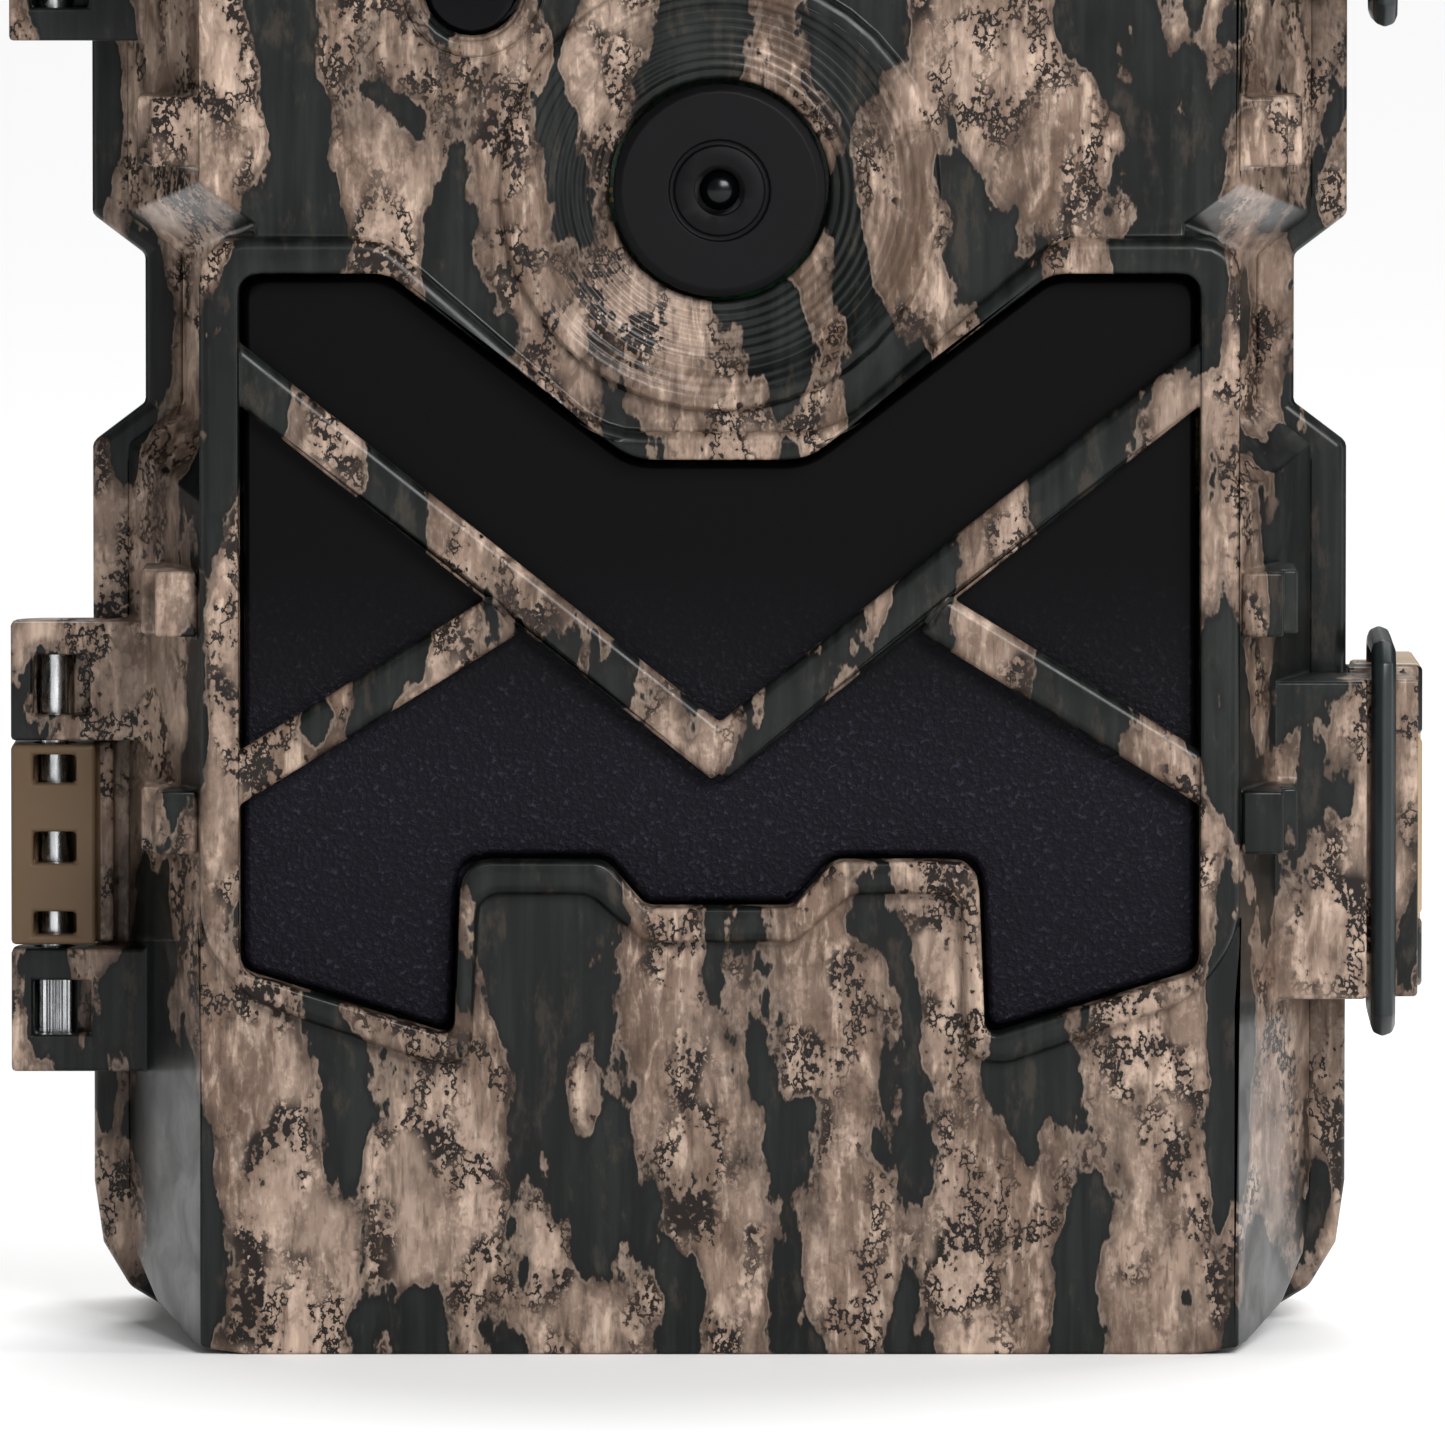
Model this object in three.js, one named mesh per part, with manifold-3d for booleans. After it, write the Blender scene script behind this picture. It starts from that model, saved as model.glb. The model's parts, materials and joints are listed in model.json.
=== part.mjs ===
// Trail camera, built as the real one is: a rear case that straps to a tree, a hinged front
// door that carries the optics and electronics, two over-centre latches and the loose controls.
// Millimetres, +Z up, front of the camera towards -Y, origin at the bottom centre of the box.

import * as THREE from "three";
import { mergeVertices } from "three/addons/utils/BufferGeometryUtils.js";
import Module from "manifold-3d";

const wasm = await Module();
wasm.setup();

// ---------------------------------------------------------------- driving dimensions

const GAP = 0.3;                 // air kept between neighbouring pieces
const HEIGHT = 140;
const MID_Z = HEIGHT / 2;        // hinges and latches mirror about this height

const Y_FRONT = -30;             // front of the raised frame
const Y_FACE = -28.5;            // main front face of the door
const Y_WINDOW = -27.4;          // recessed black windows
const Y_PARTING = -5;            // front face of the rear case rim
const Y_BACK = 18.5;             // flat back of the rear case
const Y_TREE = 30;               // tips of the tree teeth

const DOOR = { half: 41.5, waist: 37.7, corner: 9 };      // outline at the door's foot
const DOOR_SLOPE = 5.7;          // how far the flanks lean in from foot to face
const DOOR_WALL = 2.2;
const CASE = { half: 44, waist: 40.3, corner: 10 };       // outline of the rear case rim
const RIM_DEPTH = 3.4;
const BODY_INSET = 1.6;          // case body behind the rim
const CASE_WALL = 3.4;

const HINGE = { x: -46.6, y: -8.2, r: 2.95, pin: 1.0, bore: 1.35 };
const HINGE_SPANS = { lowLug: [18.2, 26.8], knuckle: [27.1, 41.1], highLug: [41.4, 49.7] };
const HINGE_BORE_SPAN = [19.4, 51.4];
const PIN_SPAN = [19.8, 49.2];
const LUG_WINDOWS = [[20.8, 24.6], [43.2, 47.4]];                     // the pin shows through
const KNUCKLE_WINDOWS = [[27.8, 29.4], [32.8, 35.0], [38.4, 40.4]];

const LATCH_Z = 34.8;              // centre height of the lower latch
const LATCH = { x: 47.5, y: -1.5, r: 2.0, pin: 0.8, half: 11.3, knuckle: 6.2 };
const BAIL = { x: 46.6, y: 4, rodX: 46.25, rodY: -15.5, r: 0.9, half: 13, reach: 3.2 };
const KEEPER = { half: 11.1, inner: 36.5, groove: 45.3, outer: 48.7 };

const LENS = { z: 80.4, dish: 15.2, disc: 7.35 };
const LIGHT = { x: -17, z: 94.4, r: 3.1, boss: 4.9 };

const CELL = { r: 7.1, length: 50.5, nub: 1.5, pitch: 14.9, y: 6.5 };
const TIER = 56;                 // clear height of one tier of cells
const TRAY_WALL = 1.6;
const CONTACT = 0.4;             // sheet thickness of the battery contacts

const PANEL_Y = [-8, -6.2];      // inner cover of the door, front and back face
const BOARD_Y = [-13.4, -11.8];  // main circuit board

// ---------------------------------------------------------------- colours and looks

const look = (color, roughness, metalness = 0) =>
  new THREE.MeshStandardMaterial({ color, roughness, metalness });

const LOOKS = {
  camo: () => look(0x6f6253, 0.35),
  black: () => look(0x101013, 0.3),
  stipple: () => look(0x18171c, 0.6),
  glass: () => look(0x0a0b10, 0.05),
  tan: () => look(0xb09a7c, 0.5),
  rubber: () => look(0x1c1c1c, 0.8),
  steel: () => look(0xb9bcbf, 0.3, 1),
  wire: () => look(0x222b2e, 0.35, 0.6),
  brass: () => look(0xb08d4a, 0.35, 1),
  nickel: () => look(0xc9c7c0, 0.3, 1),
  board: () => look(0x1d4a2c, 0.5),
  cell: () => look(0x2f3136, 0.3, 0.4),
  charcoal: () => look(0x26282a, 0.6),
  white: () => look(0xdfe4ea, 0.4),
};

// ---------------------------------------------------------------- solids and booleans

function solid(geometry) {
  geometry.deleteAttribute("normal");
  geometry.deleteAttribute("uv");
  const merged = mergeVertices(geometry, 1e-4);
  return new wasm.Manifold(new wasm.Mesh({
    numProp: 3,
    vertProperties: new Float32Array(merged.attributes.position.array),
    triVerts: new Uint32Array(merged.index.array),
  }));
}

function join(...solids) {
  return solids.reduce((whole, next) => whole.add(next));
}

function cut(whole, ...tools) {
  return tools.reduce((rest, tool) => rest.subtract(tool), whole);
}

function geometryOf(manifold) {
  const mesh = manifold.getMesh();
  const geometry = new THREE.BufferGeometry();
  geometry.setAttribute("position", new THREE.BufferAttribute(mesh.vertProperties, 3));
  geometry.setIndex(new THREE.BufferAttribute(mesh.triVerts, 1));
  geometry.computeVertexNormals();
  return geometry;
}

// A box between two corners.
function box([x0, x1], [y0, y1], [z0, z1]) {
  const geometry = new THREE.BoxGeometry(x1 - x0, y1 - y0, z1 - z0);
  return solid(geometry.translate((x0 + x1) / 2, (y0 + y1) / 2, (z0 + z1) / 2));
}

// A solid turned about a vertical line through (x, y); the profile is [radius, z] pairs.
function turnedZ(profile, x = 0, y = 0, sides = 24) {
  const points = profile.map(([r, z]) => new THREE.Vector2(r, z));
  const geometry = new THREE.LatheGeometry(points, sides).rotateX(Math.PI / 2);
  return solid(geometry.translate(x, y, 0));
}

// A solid turned about a line along Y through (x, z); the profile is [radius, y] pairs.
// Both kinds of profile run from the lowest end to the highest, so that the faces point out.
function turnedY(profile, x = 0, z = 0, sides = 32) {
  const points = profile.map(([r, y]) => new THREE.Vector2(r, y));
  return solid(new THREE.LatheGeometry(points, sides).translate(x, 0, z));
}

const rodZ = (r, x, y, [z0, z1], sides = 24) =>
  turnedZ([[0, z0], [r, z0], [r, z1], [0, z1]], x, y, sides);

const rodY = (r, x, z, [y0, y1], sides = 24) =>
  turnedY([[0, y0], [r, y0], [r, y1], [0, y1]], x, z, sides);

function rodX(r, y, z, [x0, x1], sides = 24) {
  const geometry = new THREE.CylinderGeometry(r, r, x1 - x0, sides).rotateZ(Math.PI / 2);
  return solid(geometry.translate((x0 + x1) / 2, y, z));
}

// A closed outline through [x, z, corner radius] points, each corner rounded.
function outline(points) {
  const shape = new THREE.Shape();
  const count = points.length;
  points.forEach(([x, z, r = 0], i) => {
    const corner = new THREE.Vector2(x, z);
    const towards = ([px, pz]) => new THREE.Vector2(px, pz).sub(corner).setLength(r).add(corner);
    const start = towards(points[(i + count - 1) % count]);
    const end = towards(points[(i + 1) % count]);
    if (i === 0) shape.moveTo(start.x, start.y);
    else shape.lineTo(start.x, start.y);
    if (r > 0) shape.quadraticCurveTo(x, z, end.x, end.y);
  });
  shape.closePath();
  return shape;
}

// The same points followed by their mirror image across the vertical centre line.
const mirrored = (points) => [
  ...points,
  ...points.slice().reverse().map(([x, z, r]) => [-x, z, r]),
];

// A plate whose face is an outline in the XZ plane, from y0 (front) to y1 (back).
function plate(shape, [y0, y1], bevel = 0) {
  const geometry = new THREE.ExtrudeGeometry(shape, {
    depth: y1 - y0 - bevel,
    bevelEnabled: bevel > 0,
    bevelThickness: bevel,
    bevelSize: bevel,
    bevelOffset: -bevel,
    bevelSegments: 1,
    curveSegments: 4,
  });
  const whole = solid(geometry.rotateX(Math.PI / 2).translate(0, y1, 0));
  return bevel > 0 ? cut(whole, box([-99, 99], [y1, y1 + 2 * bevel], [-99, 299])) : whole;
}

// A plate whose edge leans in by `lean` from its back face y1 to its front face y0.
function leaningPlate(shape, [y0, y1], lean) {
  const geometry = new THREE.ExtrudeGeometry(shape, {
    depth: 1,
    bevelThickness: y1 - y0,
    bevelSize: lean,
    bevelOffset: -lean,
    bevelSegments: 1,
    curveSegments: 5,
  });
  const whole = solid(geometry.rotateX(Math.PI / 2).translate(0, y1 + 1, 0));
  return cut(whole, box([-99, 99], [y1, y1 + 99], [-99, 299]));
}

// A plate across X whose face is an outline of [y, z] points.
function sidePlate(points, [x0, x1]) {
  const shape = new THREE.Shape(points.map(([y, z]) => new THREE.Vector2(y, z)));
  const geometry = new THREE.ExtrudeGeometry(shape, { depth: x1 - x0, bevelEnabled: false });
  geometry.rotateX(Math.PI / 2).rotateZ(Math.PI / 2);
  return solid(geometry.translate(x0, 0, 0));
}

// Round wire of radius r along a path of points with rounded corners.
function wire(points, r, bend) {
  const path = new THREE.CurvePath();
  const at = ([x, y, z]) => new THREE.Vector3(x, y, z);
  let from = at(points[0]);
  for (let i = 1; i < points.length - 1; i += 1) {
    const corner = at(points[i]);
    const into = at(points[i - 1]).sub(corner).setLength(bend).add(corner);
    const out = at(points[i + 1]).sub(corner).setLength(bend).add(corner);
    path.add(new THREE.LineCurve3(from, into));
    path.add(new THREE.QuadraticBezierCurve3(into, corner, out));
    from = out;
  }
  path.add(new THREE.LineCurve3(from, at(points[points.length - 1])));
  const section = new THREE.Shape();
  section.absarc(0, 0, r, 0, 2 * Math.PI);
  return solid(new THREE.ExtrudeGeometry(section, {
    extrudePath: path, steps: 48, curveSegments: 4,
  }));
}

const flipZ = (manifold) => manifold.mirror([0, 0, 1]).translate([0, 0, HEIGHT]);
const flipX = (manifold) => manifold.mirror([1, 0, 0]);

// ---------------------------------------------------------------- outlines

// The waisted outline shared by door and case, drawn `inset` inside the given base.
// Its ends lie at z = bottom and at the mirrored height.
function waistedOutline({ half, waist, corner }, inset = 0, bottom = inset) {
  const side = half - inset;
  const notch = waist - inset;
  const r = Math.max(corner - inset, 0);
  const lower = [[side, bottom, r], [side, 62 - inset / 2], [notch, 64.8 - inset / 2]];
  const upper = lower.slice().reverse().map(([x, z, c]) => [x, HEIGHT - z, c]);
  return outline(mirrored([...lower, ...upper]));
}

// Door body between two depths: flanks lean in towards the front, ends stay square.
function leaningBody([y0, y1], inset = 0) {
  const tall = waistedOutline({ ...DOOR, corner: 0 }, inset, -20);
  const foot = waistedOutline(DOOR, inset);
  return leaningPlate(tall, [y0, y1], DOOR_SLOPE).intersect(plate(foot, [y0, y1]));
}

// Outer edge of the raised frame round the lower windows, left half, from the top middle.
const FRAME_OUTER = mirrored([
  [-5.2, 28.6, 0.8], [-9, 31.9, 0.8], [-16.6, 31.9, 1.5], [-17.1, 20.6, 1.2],
  [-19.5, 20.1, 1.2], [-32.6, 24.6, 2], [-35.8, 29, 2.5], [-35.8, 77.1, 3.2],
  [-23.2, 77.1, 1.5], [-7.8, 63.8, 2.5],
]);
// Edge of the black window inside that frame.
const FRAME_INNER = mirrored([
  [-5.1, 31, 0.6], [-7.9, 34.2, 0.8], [-17.8, 34.2, 2], [-18.3, 22, 1.2],
  [-33.1, 26.6, 1], [-33.1, 74.7, 1.6], [-22.8, 74.7, 1], [-6, 61.9, 1.5],
]);
// Window over the infrared lamps, near the top of the door.
const LAMP_OUTER = mirrored([
  [-22.5, 101.4, 2], [-35.8, 111.5, 2], [-35.8, 129, 3.2],
]);
const LAMP_INNER = mirrored([
  [-21.6, 103.8, 1], [-33.1, 112.6, 1], [-33.1, 126.6, 1.6],
]);

// Straight bar between two points in the XZ plane.
function bar([x0, z0], [x1, z1], width) {
  const along = new THREE.Vector2(x1 - x0, z1 - z0).setLength(width / 2);
  const side = new THREE.Vector2(-along.y, along.x);
  return new THREE.Shape([
    new THREE.Vector2(x0, z0).add(side), new THREE.Vector2(x0, z0).sub(side),
    new THREE.Vector2(x1, z1).sub(side), new THREE.Vector2(x1, z1).add(side),
  ]);
}

// ---------------------------------------------------------------- the assembly

const camera = new THREE.Group();

function add(name, manifold, material) {
  const mesh = new THREE.Mesh(geometryOf(manifold), material);
  mesh.name = name;
  camera.add(mesh);
}

// Front door moulding: leaning shell, raised frames, ribs, lens dish, hinge lugs, keepers.
function frontShell() {
  const footY = Y_PARTING - GAP;
  const outer = leaningBody([Y_FACE, footY]);
  const hollow = leaningBody([Y_FACE + 2.5, footY + 0.5], DOOR_WALL);
  const frame = plate(outline(FRAME_OUTER), [Y_FRONT, Y_FACE + 1], 0.5);
  const lampFrame = plate(outline(LAMP_OUTER), [Y_FRONT, Y_FACE + 1], 0.5);

  const dish = turnedY([
    [0, -27.6], [LENS.disc + 0.8, -27.6], [10, -27.9], [12.6, -28.6], [LENS.dish - 1.1, -29.5],
    [LENS.dish - 0.5, -29.6], [LENS.dish, -29.2], [LENS.dish, -26], [0, -26],
  ], 0, LENS.z, 40);
  const boss = turnedY([
    [0, -28.2], [LIGHT.r + 0.6, -28.2], [LIGHT.boss - 1.1, -29.2], [LIGHT.boss - 0.4, -29.2],
    [LIGHT.boss, -28.8], [LIGHT.boss, -27], [0, -27],
  ], LIGHT.x, LIGHT.z, 28);

  // Raised pads on the leaning flanks: [inner x, outer x, low z, high z].
  const pads = [
    [34.2, 40.2, 82, 86.8], [36, 40, 49.6, 54.1], [36, 40, 34.6, 39], [36, 40, 101, 105.4],
  ].map(([x0, x1, z0, z1]) => cut(
    box([x0, x1], [Y_FACE + 0.3, -16], [z0, z1]),
    box([x1 - 1.1, x1 + 1], [Y_FACE, Y_FACE + 4], [z0 - 1, z1 + 1]),
  ));

  const columns = [8, 132].flatMap((z) => [-33.5, 33.5].map((x) =>
    rodY(3.2, x, z, [-26.5, PANEL_Y[0] - GAP], 12)));
  const columnHoles = [8, 132].flatMap((z) => [-33.5, 33.5].map((x) =>
    rodY(1.5, x, z, [-18, PANEL_Y[0] + 1], 12)));

  const window = plate(outline(FRAME_INNER), [Y_FRONT - 1, -24]);
  const lampWindow = plate(outline(LAMP_INNER), [Y_FRONT - 1, -24]);
  const ribs = [
    bar([-34.6, 69], [0.6, 41.1], 3.4), bar([34.6, 69], [-0.6, 41.1], 3.4),
    bar([-34.6, 39], [-14.6, 51.3], 3.2), bar([34.6, 39], [14.6, 51.3], 3.2),
  ].map((shape) => plate(shape, [Y_FRONT + 0.5, Y_WINDOW - GAP], 0.4));

  const lug = (span) => join(
    rodZ(HINGE.r, HINGE.x, HINGE.y, span),
    box([HINGE.x - HINGE.r, -39], [HINGE.y - HINGE.r, HINGE.y], span),
    box([HINGE.x, -39], [HINGE.y, HINGE.y + HINGE.r], span),
  );
  const pinBore = rodZ(HINGE.bore, HINGE.x, HINGE.y, HINGE_BORE_SPAN, 16);
  const slots = LUG_WINDOWS.map((span) =>
    box([HINGE.x - 1.4, HINGE.x + 2.6], [HINGE.y - 4, HINGE.y - 0.2], span));
  const lugPair = cut(join(lug(HINGE_SPANS.lowLug), lug(HINGE_SPANS.highLug)), pinBore, ...slots);

  const keeperZ = [LATCH_Z - KEEPER.half, LATCH_Z + KEEPER.half];
  const keeper = cut(
    join(
      box([KEEPER.inner, KEEPER.outer], [BAIL.rodY + 1, -6.5], keeperZ),
      box([KEEPER.inner, KEEPER.groove - 0.25], [BAIL.rodY - 1.4, -6.5], keeperZ),
    ),
    rodZ(BAIL.r + 0.25, BAIL.rodX, BAIL.rodY, [0, MID_Z], 16),
  );

  const dishSeat = rodY(LENS.dish - 0.2, 0, LENS.z, [-32, -26.2], 40);
  const bossSeat = rodY(LIGHT.boss - 0.2, LIGHT.x, LIGHT.z, [-32, -27.2], 28);
  // At the waist the flank runs inside the frame, so the frame's own wall carries on behind it.
  const frameWall = plate(outline(FRAME_OUTER), [Y_FACE, -18]);
  let shell = join(cut(join(outer, frameWall), dishSeat, bossSeat), frame, lampFrame, dish, boss);
  shell = join(shell, ...pads, ...pads.map(flipX));
  shell = cut(shell, window, lampWindow);
  shell = join(shell, ...ribs, keeper, flipZ(keeper), lugPair, flipZ(lugPair));
  const inside = cut(hollow, ...columns);
  const lensHole = rodY(LENS.disc + GAP, 0, LENS.z, [-27.6, -20], 40);
  const barrelHole = rodY(5.4, 0, LENS.z, [-32, -20], 32);
  const lightHole = rodY(LIGHT.r + GAP, LIGHT.x, LIGHT.z, [-32, -20], 24);
  return cut(shell, inside, barrelHole, lightHole, lensHole, ...columnHoles);
}

add("front_shell", frontShell(), LOOKS.camo());

// Black windows of the door, each with a flange that bears on the inside of the face.
function flangedWindow(points, grow) {
  const pane = plate(shrunk(points, GAP), [Y_WINDOW, -25.2], 0.3);
  const cavity = leaningBody([Y_FACE + 2.5, Y_PARTING], DOOR_WALL + GAP);
  const flange = plate(shrunk(points, -grow), [-25.7, -24.7]).intersect(cavity);
  return join(pane, flange);
}

const WINDING = -1;              // the mirrored outlines run clockwise seen from the front
// The outline moved inwards by d (outwards when d is negative), corner radii kept.
function shrunk(points, d) {
  const count = points.length;
  const at = (i) => new THREE.Vector2(...points[(i + count) % count].slice(0, 2));
  return outline(points.map(([x, z, r], i) => {
    const before = at(i).sub(at(i - 1)).normalize();
    const after = at(i + 1).sub(at(i)).normalize();
    const normal = new THREE.Vector2(-before.y - after.y, before.x + after.x);
    const reach = 2 * d / normal.lengthSq();
    return [x + WINDING * normal.x * reach, z + WINDING * normal.y * reach, r];
  }));
}

add("sensor_window", flangedWindow(FRAME_INNER, 1.2), LOOKS.stipple());
add("lamp_window", flangedWindow(LAMP_INNER, 1.2), LOOKS.black());

// Motion sensing: a curved Fresnel sheet that focuses on a small metal can.
function fresnelSheet() {
  const z = [28.5, 50];
  const shellOf = (r) => rodZ(r, 0, -6.5, z, 48);
  const band = cut(shellOf(17.2), rodZ(16.4, 0, -6.5, [z[0] - 1, z[1] + 1], 48));
  return band.intersect(box([-12, 12], [-30, -18], z));
}
add("motion_lens", fresnelSheet(), LOOKS.white());
add("motion_sensor", turnedY([
  [0, -17.6], [4.1, -17.6], [4.1, -14.4], [4.7, -14.4], [4.7, -13.7], [0, -13.7],
], 0, 39, 24), LOOKS.nickel());

// Lens: black cover disc with its eye, glass, threaded barrel and imager board.
add("lens_cover", turnedY([
  [1.7, -29.2], [3.1, -29.2], [3.1, -28.9], [3.5, -28.9], [3.5, -29.2], [6.8, -29.2],
  [LENS.disc, -28.8], [LENS.disc, -27.9], [1.7, -27.9], [1.7, -29.2],
], 0, LENS.z, 32), LOOKS.black());
add("lens_glass", turnedY([
  [0, -28.9], [0.8, -28.7], [1.4, -28.2], [1.4, -27.4], [0, -27.4],
], 0, LENS.z, 20), LOOKS.glass());
add("lens_barrel", turnedY([
  [0, -27], [5, -27], [5, -22.8], [6, -22.8], [6, -17], [0, -17],
], 0, LENS.z, 28), LOOKS.charcoal());
add("imager_board", plate(outline([
  [-11, LENS.z - 10, 1], [11, LENS.z - 10, 1], [11, LENS.z + 10, 1], [-11, LENS.z + 10, 1],
]), [-16.7, -15.5]), LOOKS.board());
add("light_window", rodY(LIGHT.r, LIGHT.x, LIGHT.z, [-28.3, -26.2], 24), LOOKS.black());

// Infrared lamps: a moulded holder full of domes on its own board.
const LAMP = { pitch: 6.2, rows: 4, low: 104.6, dome: 1.7 };
function lampArray() {
  const holder = plate(shrunk(LAMP_INNER, 1.4), [-20.6, -19.6]);
  const domes = [];
  for (let row = 0; row < LAMP.rows; row += 1) {
    const z = LAMP.low + 2.6 + row * LAMP.pitch * 0.88;
    const reach = Math.min(30, 20.4 + (z - 103.8) * 1.3) - 1;
    const count = Math.floor(2 * reach / LAMP.pitch);
    for (let i = 0; i <= count; i += 1) {
      const x = (i - count / 2) * LAMP.pitch;
      domes.push(turnedY([
        [0, -24], [LAMP.dome * 0.7, -23.6], [LAMP.dome, -22.4], [LAMP.dome, -20], [0, -20],
      ], x, z, 6));
    }
  }
  return join(holder, ...domes);
}
add("lamp_array", lampArray(), LOOKS.charcoal());
add("lamp_board", plate(shrunk(LAMP_INNER, 1.4), [-19.3, -18.1]), LOOKS.board());

// Main board and the cover that closes the door from behind.
const inside = (reach, low, r) => outline([
  [-reach, low, r], [reach, low, r], [reach, HEIGHT - low, r], [-reach, HEIGHT - low, r],
]);
const SCREEN = { x: [-21, 21], z: [84, 116], y: [-11, -8.3] };
const KEYS = { x: 0, z: 62, step: 10.5, cap: 3.2 };
const KEY_PLACES = {
  key_up: [0, 1], key_down: [0, -1], key_left: [-1, 0], key_right: [1, 0], key_ok: [0, 0],
};
const SWITCH = { x: [-22, -10], z: [36, 40.4], knob: 4 };
const CARD = { x: [8, 32], z: [20, 52], y: [-10.9, -8.8] };
const screwPlaces = [[-33.5, 8], [33.5, 8], [-33.5, 132], [33.5, 132]];

add("main_board", plate(inside(31.5, 14, 2), BOARD_Y), LOOKS.board());

function innerPanel() {
  const sheet = plate(waistedOutline({ ...DOOR, corner: 10 }, DOOR_WALL + 0.9), PANEL_Y);
  const through = [PANEL_Y[0] - 1, PANEL_Y[1] + 1];
  const keyHoles = Object.values(KEY_PLACES).map(([i, k]) =>
    rodY(KEYS.cap + GAP, KEYS.x + i * KEYS.step, KEYS.z + k * KEYS.step, through, 20));
  const screwHoles = screwPlaces.map(([x, z]) => rodY(1.6, x, z, through, 12));
  const screenHole = box([SCREEN.x[0] + 2, SCREEN.x[1] - 2], through, [SCREEN.z[0] + 2, SCREEN.z[1] - 2]);
  const switchSlot = box(SWITCH.x, through, SWITCH.z);
  const cardBay = box([CARD.x[0] - 1, CARD.x[1] + 1], through, [7.5, 27]);
  const portBay = box([-12, -1], through, [18, 26]);
  return cut(sheet, ...keyHoles, ...screwHoles, screenHole, switchSlot, cardBay, portBay);
}
add("inner_panel", innerPanel(), LOOKS.charcoal());

add("screen", box(SCREEN.x, SCREEN.y, SCREEN.z), LOOKS.glass());

add("card_socket", cut(
  box([CARD.x[0] - 1.6, CARD.x[1] + 1.6], [-11.5, -8.3], [26, 54]),
  box([CARD.x[0] - GAP, CARD.x[1] + GAP], [CARD.y[0] - 0.2, CARD.y[1] + 0.2], [20, 52.4]),
), LOOKS.nickel());
add("memory_card", plate(outline([
  [CARD.x[0], CARD.z[0]], [CARD.x[1], CARD.z[0]], [CARD.x[1], CARD.z[1]],
  [CARD.x[0] + 4, CARD.z[1]], [CARD.x[0], CARD.z[1] - 4],
]), CARD.y), LOOKS.charcoal());

add("usb_port", cut(
  box([-10.5, -2.5], [-11.5, -8], [19, 25]),
  box([-9.8, -3.2], [-10.9, -8.6], [18, 24.2]),
), LOOKS.nickel());

Object.entries(KEY_PLACES).forEach(([name, [i, k]]) => add(name, turnedY([
  [0, -10.2], [KEYS.cap + 0.9, -10.2], [KEYS.cap + 0.9, -8.8], [KEYS.cap, -8.8],
  [KEYS.cap, -5.8], [KEYS.cap - 0.4, -5.5], [0, -5.5],
], KEYS.x + i * KEYS.step, KEYS.z + k * KEYS.step, 14), LOOKS.rubber()));

function switchKnob() {
  const [x0] = SWITCH.x;
  const knobX = [x0 + GAP, x0 + GAP + SWITCH.knob];
  const knob = box(knobX, [-9, -5.5], [SWITCH.z[0] + GAP, SWITCH.z[1] - GAP]);
  const foot = box([knobX[0] - 2, knobX[1] + 2], [-10, -8.4], [SWITCH.z[0] - 1, SWITCH.z[1] + 1]);
  return join(knob, foot);
}
add("mode_switch", switchKnob(), LOOKS.black());

screwPlaces.forEach(([x, z], i) => add(`panel_screw_${i + 1}`, turnedY([
  [0, -15], [1.15, -15], [1.15, -5.9], [2.4, -5.9], [2.4, -4.9], [1.6, -4.4], [0, -4.4],
], x, z, 16), LOOKS.steel()));

// ---------------------------------------------------------------- rear case

const trayLow = MID_Z - 0.9 - TIER;
const COLUMNS = [-1.5, -0.5, 0.5, 1.5].map((i) => i * CELL.pitch);
const STRAP_RIB = { x: [20, 26], z: [42, 98], slot: [56, 84], slotY: [20.6, 25.6], cableZ: 47.5 };
const TRIPOD = { x: 0, y: 6, r: 4.7, bore: 3.2, top: 8.6 };
const JACK = { x: -24, y: 6, r: 4.4, bore: 2.9, top: 10.4, cap: 5.2 };

function strapRib() {
  const teeth = [];
  for (let z = STRAP_RIB.z[0] + 4; z < STRAP_RIB.z[1] - 4; z += 4) {
    teeth.push([Y_TREE, z], [Y_TREE - 1.6, z + 2]);
  }
  const edge = [
    [Y_BACK - 1, STRAP_RIB.z[0] - 6], [Y_TREE - 2, STRAP_RIB.z[0]], ...teeth,
    [Y_TREE, STRAP_RIB.z[1] - 3], [Y_TREE - 2, STRAP_RIB.z[1]], [Y_BACK - 1, STRAP_RIB.z[1] + 6],
  ];
  const across = [STRAP_RIB.x[0] - 1, STRAP_RIB.x[1] + 1];
  return cut(
    sidePlate(edge, STRAP_RIB.x),
    box(across, STRAP_RIB.slotY, STRAP_RIB.slot),
    rodX(4.2, 24, STRAP_RIB.cableZ, across, 20),
  );
}

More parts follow.
